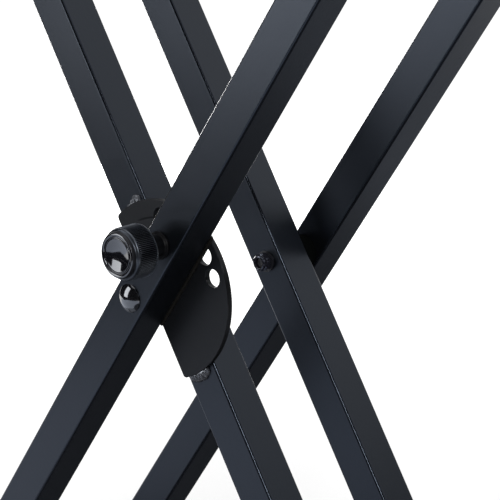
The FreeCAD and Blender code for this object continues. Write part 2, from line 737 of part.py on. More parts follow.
# --------------------------------------------------------------- outer frame
def build_outer():
    side = 1
    fronts = (Y_OUTER_FRONT, Y_OUTER_REAR)
    y = Y_OUTER_FRONT
    wall = LEG_WALL + 1.0

    front_cuts = [
        neck_hole(y - 1, y + wall),
        rod(PIVOT_HOLE_D, y + wall, y + LEG_SIDE + 1),
        rod(SPIGOT_D + 2 * SPIGOT_FIT, y - 1, y + wall, 0, HOLE_R),
        rod(PIN_D + 2 * PIN_HOLE_FIT, y + wall, y + LEG_SIDE + 1, 0, HOLE_R),
    ]
    save("outer_front_leg", leg(y, front_cuts), side)

    y = Y_OUTER_REAR
    rear_cuts = [
        rod(PIVOT_HOLE_D, y - 1, y + LEG_SIDE - wall),
        neck_hole(y + LEG_SIDE - wall, y + LEG_SIDE + 1),
    ]
    save("outer_rear_leg", leg(y, rear_cuts), side)

    top = HOLE_R + WEAR_ABOVE
    plate = rounded_square(top + WEAR_BELOW, WEAR_CORNER, WEAR_SIDE / 2.0)
    plate = along_y(plate.extrude(V(0, 0, WEAR_T)))
    plate = at(plate, 0, Y_WEAR, (top - WEAR_BELOW) / 2.0)
    plate = plate.cut(rod(PIVOT_HOLE_D, Y_WEAR - 1, Y_WEAR + WEAR_T + 1))
    plate = plate.cut(rod(PIN_D + 2 * PIN_HOLE_FIT, Y_WEAR - 1, Y_WEAR + WEAR_T + 1,
                          0, HOLE_R))
    save("wear_plate", plate, side)

    # front pivot: head on the front leg, nut behind the second leg
    seat = Y_INNER_FRONT + LEG_SIDE + RUB_GAP
    nut_face = seat + PIVOT_WASHER_T
    save("front_pivot_bolt", carriage_bolt(Y_OUTER_FRONT, nut_end(nut_face)), side)
    washer = ring(PIVOT_WASHER_D, PIVOT_HOLE_D, seat, nut_face)
    save("front_pivot_washer", washer, side)
    save("front_pivot_nut", lock_nut(nut_face), side)

    # rear pivot: head behind the fourth leg, nut in front of the third leg
    seat = Y_INNER_REAR - RUB_GAP
    nut_face = seat - PIVOT_WASHER_T
    bolt = carriage_bolt(Y_OUTER_REAR + LEG_SIDE, nut_end(nut_face, -1), -1)
    save("rear_pivot_bolt", bolt, side)
    washer = ring(PIVOT_WASHER_D, PIVOT_HOLE_D, nut_face, seat)
    save("rear_pivot_washer", washer, side)
    save("rear_pivot_nut", lock_nut(nut_face, -1), side)
    spacer = ring(SPACER_D, PIVOT_HOLE_D, Y_INNER_REAR + LEG_SIDE + RUB_GAP, Y_OUTER_REAR)
    save("rear_pivot_spacer", spacer, side)

    save("plunger_housing", place_plunger(plunger_housing()), side)

    build_bars("outer", fronts, side, -Y_OUTER_FRONT + SLEEVE_LEG_GAP)


def build_bars(name, fronts, side, sleeve_start):
    """Foot bar, top bar and everything on them, for one of the two frames."""
    save(name + "_leg_plugs", group(leg_plugs(fronts[0]) + leg_plugs(fronts[1])), side)
    save(name + "_foot_bar", foot_bar(fronts), side)
    save(name + "_foot_cap", foot_cap(side), side)
    save(name + "_leveller_plug", level_plug(), side)
    save(name + "_leveller_cap", level_cap(side), side)
    washer, screw = level_fixings()
    save(name + "_leveller_washer", washer, side)
    save(name + "_leveller_screw", screw, side)
    save(name + "_top_bar", top_bar(fronts), side)
    save(name + "_top_sleeves", group(top_sleeves(sleeve_start)), side)
    save(name + "_top_caps", group(top_caps()), side)
    bolts, washers = bar_bolts(fronts)
    save(name + "_bar_bolts", group(bolts), side)
    save(name + "_bar_washers", group(washers), side)


# --------------------------------------------------------------- inner frame
def build_inner():
    side = -1
    fronts = (Y_INNER_FRONT, Y_INNER_REAR)
    hole_d = BUSH_D + 2 * BUSH_FIT
    for name, y in (("inner_front_leg", fronts[0]), ("inner_rear_leg", fronts[1])):
        save(name, leg(y, [rod(hole_d, y - 1, y + LEG_SIDE + 1)]), side)
    bore = PIVOT_D + 2 * PIVOT_FIT
    bushes = [
        ring(BUSH_D, bore, Y_DISC, Y_INNER_FRONT + LEG_SIDE),
        ring(BUSH_D, bore, Y_INNER_REAR, Y_INNER_REAR + LEG_SIDE),
    ]
    save("pivot_bushes", group(bushes), side)
    save("locking_disc", locking_disc(), side)
    save("disc_welds", group(disc_welds()), side)
    build_bars("inner", fronts, side, -Y_INNER_FRONT + SLEEVE_LEG_GAP)


# ---------------------------------------------------------------------- lock
def build_lock():
    pieces = (
        ("lock_pin", lock_pin()),
        ("pin_clip", pin_clip()),
        ("stem_nut", stem_nut()),
        ("pin_spring", pin_spring()),
        ("knob_body", knob_body()),
        ("knob_cap", knob_cap()),
    )
    for name, shape in pieces:
        save(name, place_plunger(shape), 1)


build_outer()
build_inner()
build_lock()
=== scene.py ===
import bpy
import json
import math
import random
from mathutils import Matrix, Vector


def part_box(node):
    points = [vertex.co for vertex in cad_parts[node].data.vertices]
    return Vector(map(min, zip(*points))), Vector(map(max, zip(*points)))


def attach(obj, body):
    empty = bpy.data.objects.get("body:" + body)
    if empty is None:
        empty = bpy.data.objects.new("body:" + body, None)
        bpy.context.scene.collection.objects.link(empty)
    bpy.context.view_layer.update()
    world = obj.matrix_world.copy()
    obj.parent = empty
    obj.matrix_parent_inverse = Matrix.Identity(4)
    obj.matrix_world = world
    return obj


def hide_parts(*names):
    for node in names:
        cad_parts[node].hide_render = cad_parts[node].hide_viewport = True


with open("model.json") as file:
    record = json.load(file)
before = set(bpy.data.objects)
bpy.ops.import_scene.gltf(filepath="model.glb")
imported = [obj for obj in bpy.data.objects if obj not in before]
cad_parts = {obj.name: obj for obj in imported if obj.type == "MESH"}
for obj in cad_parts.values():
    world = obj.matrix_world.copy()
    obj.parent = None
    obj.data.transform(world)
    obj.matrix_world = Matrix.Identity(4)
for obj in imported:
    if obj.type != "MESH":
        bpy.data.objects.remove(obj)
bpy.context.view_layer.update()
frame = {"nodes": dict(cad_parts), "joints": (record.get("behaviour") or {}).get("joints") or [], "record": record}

nodes = frame["nodes"]
record = frame["record"]
joints = {j["name"]: j for j in frame["joints"]}
slots = {part["node"]: part["material_slot"] for part in record["subparts"]}
bodies = {node: body for body, members in record["behaviour"]["bodies"].items()
          for node in members}

# ---------------------------------------------------------------------- places
MM = 0.001
SPREAD = 33.5              # degrees from upright to a leg
SPREAD_STEP = 9.0          # degrees of spread from one lock hole to the next
HALF_ANGLE = math.radians(SPREAD)
PIVOT = Vector(joints["fold"]["pos_m"])
KNOB_AXIS = Vector(joints["knob_turn"]["pos_m"])
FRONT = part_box("outer_front_leg")[0].y

# sizes in mm, as on the solids
BAR_REACH = 490.0          # pivot to a foot bar's axis along a leg
TOP_REACH = 487.5          # pivot to a top bar's axis along a leg
FOOT_R = 23.0              # foot caps, and the height of the foot bars' axes
SLEEVE_R = 20.5
SLEEVE_LIP = 18.1          # outer radius of a sleeve's flat end
SLEEVE_BORE = 12.56        # half width of a sleeve's square bore
SLEEVE_END = 162.0         # middle of a top bar to a sleeve's far end
HEAD_R = 10.325            # domed bolt heads
HEAD_RIM = 0.8
HEAD_RISE = 4.9
SHANK_R = 3.98
THREAD_STEP = 0.62         # one crest or one groove
THREAD_DEPTH = 0.55
PLAIN_STEPS = 50           # length of the shank's plain part, in thread steps
NUT_ACROSS = 13.0          # lock nuts, across flats
DISC_R = 65.3
DISC_CHORD = 14.3          # pivot to the disc's straight side
DISC_CORNER = 3.0
DISC_EDGE = 0.45           # rounding of the disc's edges
PIVOT_HOLE_R = 6.02
HOLE_RING = 53.1           # radius of the circle of lock holes
LOCK_HOLE_R = 6.65
LOCK_ANGLES = [math.radians(90 - 2 * (SPREAD + step * SPREAD_STEP)) for step in range(-2, 3)]
RUB_RING = 52.1            # radius of the pin's rub mark on the disc
RUB_WIDTH = (0.4, 1.1)     # distances from that radius over which the mark fades
RUB_STARTS = (97, 100)     # degrees over which the mark sets in
RUB_STOPS = (115, 121)     # degrees over which it ends
GRIP_ENDS = (-34.7, -19.7)  # the knob's knurled grip, from the leg's front face
GRIP_FADE = (6.8, 7.3)     # distances from the grip's middle over which its shading ends
RIDGE_RADII = (17.75, 18.35)  # from the grooves between the ridges to their crests
CAP_WALL = (15.2, 15.7)    # radii over which the knob cap's face turns into its wall


def metres(sizes):
    """Sizes in mm, in metres."""
    return [size * MM for size in sizes]


def leaned(side):
    """Matrix from a frame's upright drawing about the pivot to its place."""
    return Matrix.Translation(PIVOT) @ Matrix.Rotation(side * HALF_ANGLE, 4, "Y")


# ------------------------------------------------------------------ mesh tools
def new_piece(name, mesh, material, body, stands_for=()):
    """A piece that rides on a body, and the CAD nodes that it takes the place of."""
    piece = bpy.data.objects.new(name, mesh)
    bpy.context.scene.collection.objects.link(piece)
    mesh.materials.clear()
    mesh.materials.append(material)
    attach(piece, body)
    if stands_for:
        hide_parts(*stands_for)


def soften(mesh, angle=30):
    """Smooth shading, with creases where faces meet at more than the angle."""
    mesh.polygons.foreach_set("use_smooth", [True] * len(mesh.polygons))
    mesh.set_sharp_from_angle(angle=math.radians(angle))
    mesh.update()
    return mesh


def grid_mesh(name, rows, closed_round=True, cap_ends=False):
    """Mesh from rows of equally many points; each row is a ring where closed_round."""
    n = len(rows[0])
    verts = [p for row in rows for p in row]
    faces = []
    for i in range(len(rows) - 1):
        for j in range(n if closed_round else n - 1):
            k = (j + 1) % n
            faces.append((i * n + j, i * n + k, (i + 1) * n + k, (i + 1) * n + j))
    if cap_ends:
        faces.append(tuple(reversed(range(n))))
        faces.append(tuple(range((len(rows) - 1) * n, len(rows) * n)))
    mesh = bpy.data.meshes.new(name)
    mesh.from_pydata(verts, [], faces)
    mesh.validate()
    return mesh


def ring(centre, r, y, steps, ripple=None):
    """Points round the Y axis through centre, at radius r and y in mm."""
    points = []
    for j in range(steps):
        t = 2 * math.pi * j / steps
        q = (r + (ripple(r, y, t) if ripple else 0.0)) * MM
        points.append((centre[0] + q * math.cos(t), centre[1] + y * MM,
                       centre[2] + q * math.sin(t)))
    return points


def lathe(name, profile, centre, steps=96, ripple=None):
    """Turned form about the Y axis through centre; profile is (radius, y) in mm."""
    return grid_mesh(name, [ring(centre, r, y, steps, ripple) for r, y in profile])


def bend_points(a, m, b, n=6):
    """Points of a smooth bend from a to b that leans on the corner m."""
    out = []
    for i in range(n + 1):
        t = i / n
        out.append(tuple((1 - t) ** 2 * a[k] + 2 * t * (1 - t) * m[k] + t * t * b[k]
                         for k in (0, 1)))
    return out


# ---------------------------------------------------------------- node helpers
def add_node(tree, kind, **values):
    """A new node, laid out on a grid in the order of making."""
    n = len(tree.nodes)
    node = tree.nodes.new(kind)
    node.location = (220 * (n % 8) - 1600, 700 - 280 * (n // 8))
    for key, value in values.items():
        setattr(node, key, value)
    return node


def feed(tree, socket, value):
    """Links another node's output to the socket, or writes a plain value on it."""
    if isinstance(value, bpy.types.NodeSocket):
        tree.links.new(value, socket)
    else:
        socket.default_value = value


def fill(tree, node, values):
    """Feeds a node's inputs by their labels."""
    for label, value in values.items():
        feed(tree, node.inputs[label], value)
    return node


def calc(tree, operation, *values):
    """A sum, product or other operation on numbers."""
    node = add_node(tree, "ShaderNodeMath", operation=operation)
    for socket, value in zip(node.inputs, values):
        feed(tree, socket, value)
    return node.outputs["Value"]


def vector(tree, operation, *values):
    """The same on vectors."""
    node = add_node(tree, "ShaderNodeVectorMath", operation=operation)
    for socket, value in zip(node.inputs, values):
        feed(tree, socket, value)
    return node.outputs["Value" if operation == "LENGTH" else "Vector"]


def parts_of(tree, value):
    """The X, Y and Z of a vector."""
    return fill(tree, add_node(tree, "ShaderNodeSeparateXYZ"), {"Vector": value}).outputs


def spread(tree, value, low, high, first=0.0, last=1.0, form="SMOOTHSTEP"):
    """The value's range from low to high, spread from first to last."""
    node = add_node(tree, "ShaderNodeMapRange", interpolation_type=form)
    return fill(tree, node, {"Value": value, "From Min": low, "From Max": high,
                             "To Min": first, "To Max": last}).outputs["Result"]


def mix(tree, kind, factor, first, second):
    """Blend of two colours (RGBA) or numbers (FLOAT)."""
    node = add_node(tree, "ShaderNodeMix", data_type=kind)
    return fill(tree, node, {"Factor": factor, "A": first, "B": second}).outputs["Result"]


def noise(tree, scale, detail=2.0, roughness=0.5, where=None):
    """Noise from 0 to 1, over the piece's own box unless a place is given."""
    node = add_node(tree, "ShaderNodeTexNoise")
    fill(tree, node, {"Scale": scale, "Detail": detail, "Roughness": roughness})
    if where is not None:
        feed(tree, node.inputs["Vector"], where)
    return node.outputs["Fac"]


def overlay(tree, label, factor, value):
    """Puts a value over what one of the shader's sockets has, by a factor."""
    socket = tree.nodes["Principled BSDF"].inputs[label]
    under = socket.links[0].from_socket if socket.links else socket.default_value
    kind = "RGBA" if isinstance(value, tuple) else "FLOAT"
    feed(tree, socket, mix(tree, kind, factor, under, value))


def place_about(tree, centre):
    """The place seen from centre, and its distance from the Y axis there."""
    where = add_node(tree, "ShaderNodeTexCoord").outputs["Object"]
    shift = vector(tree, "SUBTRACT", where, centre)
    return shift, vector(tree, "LENGTH", vector(tree, "MULTIPLY", shift, (1, 0, 1)))


def new_material(name):
    """A node material and its tree."""
    mat = bpy.data.materials.new(name)
    mat.use_nodes = True
    return mat, mat.node_tree


def new_group(name, inputs, outputs):
    """A shader node group with number sockets, and its two end nodes."""
    group = bpy.data.node_groups.new(name, "ShaderNodeTree")
    for label, default in inputs:
        socket = group.interface.new_socket(label, in_out="INPUT",
                                            socket_type="NodeSocketFloat")
        socket.default_value = default
    for label in outputs:
        group.interface.new_socket(label, in_out="OUTPUT", socket_type="NodeSocketFloat")
    return (group, add_node(group, "NodeGroupInput").outputs,
            add_node(group, "NodeGroupOutput"))


def use_group(tree, group, **values):
    """Places a shader node group with its own values, and gives its outputs."""
    labels = {key.replace("_", " ").title(): value for key, value in values.items()}
    return fill(tree, add_node(tree, "ShaderNodeGroup", node_tree=group), labels).outputs


def surface_group():
    """Mottle, orange peel and specks of a sprayed or moulded surface."""
    group, given, result = new_group(
        "sprayed_skin",
        (("Mottle Scale", 40.0), ("Peel Scale", 700.0), ("Speck Scale", 900.0),
         ("Speck Amount", 0.3)),
        ("Mottle", "Speck", "Height"))
    where = add_node(group, "ShaderNodeTexCoord").outputs["Object"]
    cells = fill(group, add_node(group, "ShaderNodeTexVoronoi"),
                 {"Vector": where, "Scale": given["Speck Scale"]})
    dots = spread(group, cells.outputs["Distance"], 0.0, 0.10, 1.0, 0.0, "LINEAR")
    patches = spread(group, noise(group, 55, 3, where=where), 0.5, 0.68, form="LINEAR")
    specks = calc(group, "MULTIPLY", dots, patches)
    fill(group, result, {
        "Mottle": noise(group, given["Mottle Scale"], 5, 0.6, where),
        "Speck": calc(group, "MULTIPLY", specks, given["Speck Amount"]),
        "Height": noise(group, given["Peel Scale"], where=where)})
    return group


def scratch_group():
    """Fine stretched scratches along one direction."""
    group, given, result = new_group(
        "fine_scratches", (("Across", 900.0), ("Along", 25.0), ("Amount", 0.5)), ("Scratch",))
    where = add_node(group, "ShaderNodeTexCoord").outputs["Object"]
    scales = fill(group, add_node(group, "ShaderNodeCombineXYZ"),
                  {"X": given["Across"], "Y": given["Along"], "Z": given["Across"]})
    stretched = vector(group, "MULTIPLY", where, scales.outputs["Vector"])
    grain = noise(group, 1.0, 4, where=stretched)
    fill(group, result, {"Scratch": calc(group, "MULTIPLY", grain, given["Amount"])})
    return group


def corner_group():
    """Mask of rounded corners, where the normal is neither along Y nor square to it, for their wear and their
    painted highlight.
    """
    group, given, result = new_group("corner_wear_and_highlight", (("Amount", 1.0),), ("Corner",))
    normal = add_node(group, "ShaderNodeNewGeometry").outputs["Normal"]
    lean = calc(group, "ABSOLUTE", parts_of(group, normal)["Y"])
    corner = calc(group, "MULTIPLY", spread(group, lean, 0.12, 0.35),
                  spread(group, lean, 0.85, 0.98, 1.0, 0.0))
    fill(group, result, {"Corner": calc(group, "MULTIPLY", corner, given["Amount"])})
    return group


def weave_group():
    """The uneven tone of woven cloth."""
    group, given, result = new_group("cloth_weave", (("Weave Scale", 60.0),), ("Weave",))
    fill(group, result, {"Weave": noise(group, given["Weave Scale"])})
    return group


SKIN = surface_group()
SCRATCH = scratch_group()
CORNER = corner_group()
WEAVE = weave_group()


def finish(name, dark, light, rough, metallic=0.0, peel=0.04, peel_scale=700.0,
           speck=0.25, speck_scale=900.0, speck_colour=None, scratch=None, coat=0.0,
           coat_rough=0.05, specular=0.5, sheen=(1, 1, 1), peel_depth=0.0004):
    """A procedural finish: colour between dark and light, roughness range, fine relief."""
    mat, tree = new_material(name)
    skin = use_group(tree, SKIN, mottle_scale=40.0, peel_scale=peel_scale,
                     speck_scale=speck_scale, speck_amount=speck)
    mottle, height = skin["Mottle"], skin["Height"]
    colour = mix(tree, "RGBA", mottle, (*dark, 1), (*light, 1))
    pale = speck_colour or [min(1, c * 4 + 0.05) for c in light]
    colour = mix(tree, "RGBA", skin["Speck"], colour, (*pale, 1))
    if scratch:
        across, along, amount = scratch
        lines = use_group(tree, SCRATCH, across=across, along=along, amount=amount)["Scratch"]
        mottle = calc(tree, "ADD", mottle, lines)
        height = calc(tree, "ADD", height, lines)
    relief = fill(tree, add_node(tree, "ShaderNodeBump"),
                  {"Strength": peel, "Distance": peel_depth, "Height": height})
    fill(tree, tree.nodes["Principled BSDF"], {
        "Base Color": colour, "Metallic": metallic, "Specular IOR Level": specular,
        "Specular Tint": (*sheen, 1), "Coat Weight": coat, "Coat Roughness": coat_rough,
        "Roughness": spread(tree, mottle, 0.0, 1.0, *rough, "LINEAR"),
        "Normal": relief.outputs["Normal"]})
    return mat


# -------------------------------------------------------------------- finishes
COOL = (0.66, 0.78, 1.0)
leg_paint = finish("satin_black_leg_paint", (0.0014, 0.0016, 0.0022), (0.0026, 0.0030, 0.0038),
                   (0.27, 0.34), peel=0.08, peel_scale=420, speck=0.15,
                   speck_colour=(0.02, 0.022, 0.026), specular=0.42, sheen=COOL)
disc_paint = finish("satin_black_disc_paint", (0.0024, 0.0025, 0.0028), (0.0040, 0.0042, 0.0046),
                    (0.32, 0.40), peel=0.12, peel_scale=520, speck=0.15,
                    speck_colour=(0.02, 0.022, 0.026), specular=0.20, sheen=(0.85, 0.9, 1.0))
weld_paint = finish("painted_weld", (0.016, 0.017, 0.020), (0.045, 0.047, 0.054),
                    (0.14, 0.24), peel=0.6, peel_scale=300, peel_depth=0.0010, speck=0.1,
                    specular=0.9, sheen=(0.85, 0.9, 1.0))
housing_paint = finish("housing_paint", (0.0014, 0.0016, 0.0022), (0.0026, 0.0028, 0.0034),
                       (0.36, 0.44), peel=0.10, specular=0.10, speck=0.1,
                       speck_colour=(0.02, 0.02, 0.022))
gloss_black = finish("gloss_black_bolt", (0.003, 0.003, 0.0036), (0.006, 0.006, 0.007),
                     (0.08, 0.12), peel=0.02, peel_scale=300, speck=0.0, coat=0.9,
                     coat_rough=0.06, specular=1.0, sheen=(0.88, 0.92, 1.0))
cap_black = finish("gloss_black_cap", (0.002, 0.002, 0.003), (0.004, 0.004, 0.0055),
                   (0.06, 0.10), peel=0.008, speck=0.0, coat=0.4, coat_rough=0.06,
                   specular=0.85, sheen=(0.88, 0.92, 1.0))
nut_black = finish("black_lock_nut", (0.006, 0.006, 0.009), (0.012, 0.012, 0.016),
                   (0.12, 0.20), peel=0.03, specular=0.7, sheen=(0.7, 0.78, 1.0))
nut_insert = finish("nut_insert", (0.006, 0.006, 0.011), (0.012, 0.012, 0.02),
                    (0.30, 0.42), peel=0.1)
dark_zinc = finish("dark_zinc", (0.14, 0.14, 0.15), (0.24, 0.24, 0.25),
                   (0.25, 0.40), metallic=1.0, peel=0.06, scratch=(1500, 200, 0.3))
bolt_black = finish("black_oxide_bolt", (0.010, 0.010, 0.012), (0.020, 0.020, 0.023),
                    (0.26, 0.38), metallic=0.3, peel=0.08)
spacer_grey = finish("dark_spacer", (0.0010, 0.0014, 0.0014), (0.0018, 0.0023, 0.0023),
                     (0.8, 0.9), peel=0.1, speck=0.1, speck_colour=(0.01, 0.011, 0.011),
                     specular=0.02)
bush_natural = finish("natural_bush", (0.52, 0.52, 0.48), (0.62, 0.62, 0.58),
                      (0.4, 0.55), peel=0.06)
plug_steel = finish("plain_steel_plug", (0.30, 0.30, 0.31), (0.42, 0.42, 0.43),
                    (0.3, 0.5), metallic=1.0, scratch=(1200, 60, 0.4))
plug_black = finish("moulded_black_plug", (0.018, 0.018, 0.019), (0.03, 0.03, 0.032),
                    (0.4, 0.55), peel=0.2, peel_scale=1100)
rubber = finish("moulded_rubber", (0.014, 0.014, 0.015), (0.026, 0.026, 0.027),
                (0.55, 0.72), peel=0.25, peel_scale=1300, speck=0.35,
                speck_colour=(0.10, 0.10, 0.10), specular=0.35)
sleeve_rubber = finish("sleeve_rubber", (0.016, 0.016, 0.017), (0.030, 0.030, 0.031),
                       (0.60, 0.78), peel=0.35, peel_scale=1500, speck=0.4,
                       speck_colour=(0.11, 0.11, 0.11), specular=0.3)
knob_plastic = finish("knurled_knob_plastic", (0.0022, 0.0024, 0.0032), (0.0040, 0.0044, 0.0056),
                      (0.26, 0.34), peel=0.10, peel_scale=1600, speck=0.1, speck_scale=1400,
                      speck_colour=(0.02, 0.02, 0.022), specular=0.35, sheen=(0.75, 0.84, 1.0))
spring_steel = finish("spring_steel", (0.36, 0.36, 0.37), (0.5, 0.5, 0.51),
                      (0.2, 0.32), metallic=1.0, peel=0.03)
pin_steel = finish("turned_steel", (0.40, 0.40, 0.41), (0.52, 0.52, 0.53),
                   (0.18, 0.32), metallic=1.0, scratch=(1600, 90, 0.5))

FINISHES = {
    "leg_paint": leg_paint, "disc_paint": disc_paint, "weld_paint": weld_paint,
    "housing_paint": housing_paint, "gloss_bolt": gloss_black, "black_nut": nut_black,
    "washer_steel": dark_zinc, "black_bolt": bolt_black, "spacer_plastic": spacer_grey,
    "bush_plastic": bush_natural, "plug_steel": plug_steel, "plug_plastic": plug_black,
    "foot_rubber": rubber, "sleeve_rubber": sleeve_rubber, "cap_rubber": rubber,
    "knob_plastic": knob_plastic, "cap_gloss": cap_black, "spring_steel": spring_steel,
    "pin_steel": pin_steel,
}


def worn_corners_and_highlight(mat, rough, light):
    """Rubs a paint's rounded corners smoother and paints them lighter, partly as wear and partly as a painted
    highlight along the corner line.
    """
    tree = mat.node_tree
    corner = use_group(tree, CORNER, amount=1.0)["Corner"]
    # lighter corner colour: partly wear, partly a painted highlight
    overlay(tree, "Base Color", corner, (*light, 1))
    overlay(tree, "Roughness", corner, rough)


# legs and disc: rubbed corners, their lighter colour partly a painted highlight
worn_corners_and_highlight(leg_paint, 0.14, (0.0030, 0.0034, 0.0044))
worn_corners_and_highlight(disc_paint, 0.15, (0.008, 0.0083, 0.009))
# the wear plate's lighter brownish colour is a painted highlight along its visible edge; the fine scratches are
# texture
plate_edge_highlight = finish("plate_painted_edge_highlight", (0.0030, 0.0027, 0.0024), (0.0090, 0.0078, 0.0066),
                   (0.40, 0.55), peel=0.1, scratch=(900, 60, 0.4), specular=0.2)
washer_black = finish("black_pivot_washer", (0.006, 0.006, 0.008), (0.012, 0.012, 0.015),
                      (0.24, 0.34), peel=0.05, scratch=(1500, 200, 0.2))

for name, slot in slots.items():
    mesh = nodes[name].data
    mesh.materials.clear()
    mesh.materials.append(FINISHES[slot])
    soften(mesh, 28)
# the wear plate gets the painted edge highlight
nodes["wear_plate"].data.materials[0] = plate_edge_highlight
for name in ("front_pivot_washer", "rear_pivot_washer"):
    nodes[name].data.materials[0] = washer_black


# ----------------------------------------------------------------- domed bolts
def bolt_head_profile():
    """Domed head of a carriage bolt, from its underside to the crown at y = 0."""
    profile = [(0.05, HEAD_RISE), (HEAD_R - 0.35, HEAD_RISE), (HEAD_R, HEAD_RISE - 0.25),
               (HEAD_R, HEAD_RISE - HEAD_RIM + 0.1)]
    rise = HEAD_RISE - HEAD_RIM
    dome = (HEAD_R ** 2 + rise ** 2) / (2 * rise)
    steps = 14
    for i in range(1, steps + 1):
        x = HEAD_R * (1 - i / steps)
        profile.append((max(x, 0.02), dome - math.sqrt(dome ** 2 - x ** 2)))
    return profile


def shank_profile(end):
    """Plain shank with a thread on its last part, from the head to y = end."""
    profile = [(0.05, HEAD_RISE), (SHANK_R, HEAD_RISE)]
    for i in range(int((end - HEAD_RISE - 1.0) / THREAD_STEP)):
        groove = THREAD_DEPTH if i > PLAIN_STEPS and i % 2 else 0.0
        profile.append((SHANK_R - groove, HEAD_RISE + i * THREAD_STEP))
    return profile + [(3.2, end), (1.6, end), (1.3, end - 0.5), (0.05, end - 0.6)]


def carriage_head(name, node, front):
    """Domed head and threaded shank of a pivot bolt."""
    low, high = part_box(node)
    mid = (low + high) / 2
    centre = Vector((mid.x, low.y if front else high.y, mid.z))
    head = lathe(name, bolt_head_profile(), centre, 128)
    shank = lathe(name + "_shank", shank_profile((high.y - low.y) / MM - 1.6), centre, 32)
    if not front:
        about = Matrix.Translation(centre) @ Matrix.Rotation(math.pi, 4, "Z")
        for mesh in (head, shank):
            mesh.transform(about @ Matrix.Translation(-centre))
    new_piece(name, soften(head, 40), gloss_black, "outer_frame", (node,))
    new_piece(name + "_shank", soften(shank, 25), bolt_black, "outer_frame")


carriage_head("front_bolt_head", "front_pivot_bolt", True)
carriage_head("rear_bolt_head", "rear_pivot_bolt", False)


# ------------------------------------------------------------------- lock nuts
def flats(r, y, t):
    """What a hex nut's flats take off radius r at angle t, in mm."""
    a = (t + math.pi / 6) % (math.pi / 3) - math.pi / 6
    return min(0.0, NUT_ACROSS / 2 / math.cos(a) - r)


def lock_nut(name, node, points_front):
    """Chamfered hex nut with a rolled collar and a plastic ring inside it."""
    low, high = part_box(node)
    mid = (low + high) / 2
    seat, way = (high.y, -1) if points_front else (low.y, 1)
    place = Matrix.Translation((mid.x, seat, mid.z)) @ Matrix.Scale(way, 4, (0, 1, 0))
    corner = NUT_ACROSS / math.sqrt(3)
    profile = [(4.05, 0.0), (6.3, 0.0), (corner - 0.35, 0.35), (corner, 4.3),
               (corner - 0.75, 4.75), (5.8, 5.2), (5.8, 6.3), (5.7, 6.9), (5.4, 7.3),
               (5.0, 7.5), (4.7, 7.6), (4.45, 7.45), (4.3, 7.1), (4.1, 6.2), (4.05, 0.0)]
    nut = lathe(name, profile, (0, 0, 0), 96, flats)
    nut.transform(place @ Matrix.Rotation(HALF_ANGLE - math.pi / 6, 4, "Y"))
    new_piece(name, soften(nut, 26), nut_black, "outer_frame", (node,))
    insert = lathe(name + "_ring", [(4.02, 5.6), (5.2, 5.6), (5.2, 6.9), (4.5, 7.05),
                                    (4.02, 6.9), (4.02, 5.6)], (0, 0, 0), 64)
    insert.transform(place)
    new_piece(name + "_ring", soften(insert, 35), nut_insert, "outer_frame")


lock_nut("front_lock_nut", "front_pivot_nut", False)
lock_nut("rear_lock_nut", "rear_pivot_nut", True)


# ---------------------------------------------------------------- locking disc
def disc_outline():
    """The disc's outline: a circle cut straight at x = -DISC_CHORD, corners rounded."""
    cx = DISC_CORNER - DISC_CHORD
    cz = math.sqrt((DISC_R - DISC_CORNER) ** 2 - cx ** 2)
    end = math.atan2(cz, cx)
    steps, bend = 160, 8
    points = []
    for i in range(steps + 1):
        t = -end + 2 * end * i / steps
        points.append((DISC_R * math.cos(t), DISC_R * math.sin(t)))
    upper = [(end + (math.pi - end) * k / bend, cz) for k in range(1, bend + 1)]
    lower = [(math.pi + (math.pi - end) * k / bend, -cz) for k in range(bend)]
    for t, z in upper + lower:
        points.append((cx + DISC_CORNER * math.cos(t), z + DISC_CORNER * math.sin(t)))
    return points


def plate_curve(name, outlines, half, edge):
    """Flat plate with rounded edges from closed outlines (mm), facing Y."""
    curve = bpy.data.curves.new(name, "CURVE")
    curve.dimensions = "2D"
    curve.fill_mode = "BOTH"
    curve.extrude = (half - edge) * MM
    curve.bevel_depth = edge * MM
    curve.bevel_resolution = 3
    curve.offset = -edge * MM
    for points in outlines:
        spline = curve.splines.new("POLY")
        spline.points.add(len(points) - 1)
        for point, (x, z) in zip(spline.points, points):
            point.co = (x * MM, z * MM, 0, 1)
        spline.use_cyclic_u = True
    holder = bpy.data.objects.new(name + "_curve", curve)
    bpy.context.scene.collection.objects.link(holder)
    bpy.context.view_layer.update()
    graph = bpy.context.evaluated_depsgraph_get()
    mesh = bpy.data.meshes.new_from_object(holder.evaluated_get(graph))
    mesh.name = name
    bpy.data.objects.remove(holder)
    bpy.data.curves.remove(curve)
    mesh.transform(Matrix.Rotation(math.pi / 2, 4, "X"))
    return mesh


def circle_points(r, cx, cz, steps=56):
    """A round hole's outline."""
    return [(cx + r * math.cos(2 * math.pi * i / steps),
             cz + r * math.sin(2 * math.pi * i / steps)) for i in range(steps)]


def disc_finish():
    """Disc paint with the pin's rub mark as a thin worn arc between two angles."""
    mat = disc_paint.copy()
    mat.name = "disc_paint_with_rub_mark"
    tree = mat.node_tree
    shift, far = place_about(tree, PIVOT)
    off = calc(tree, "ABSOLUTE", calc(tree, "SUBTRACT", far, RUB_RING * MM))
    line = spread(tree, off, *metres(RUB_WIDTH), 1.0, 0.0)
    side = parts_of(tree, shift)
    turn = calc(tree, "ARCTAN2", side["Z"], side["X"])
    arc = calc(tree, "MULTIPLY", spread(tree, turn, *map(math.radians, RUB_STARTS)),
               spread(tree, turn, *map(math.radians, RUB_STOPS), 1.0, 0.0))
    mark = calc(tree, "MULTIPLY", arc, line)
    overlay(tree, "Base Color", mark, (0.002, 0.002, 0.0025, 1))
    overlay(tree, "Roughness", mark, 0.9)
    height = [n for n in tree.nodes if n.type == "BUMP"][0].inputs["Height"]
    feed(tree, height, calc(tree, "MULTIPLY_ADD", mark, -6.0, height.links[0].from_socket))
    return mat


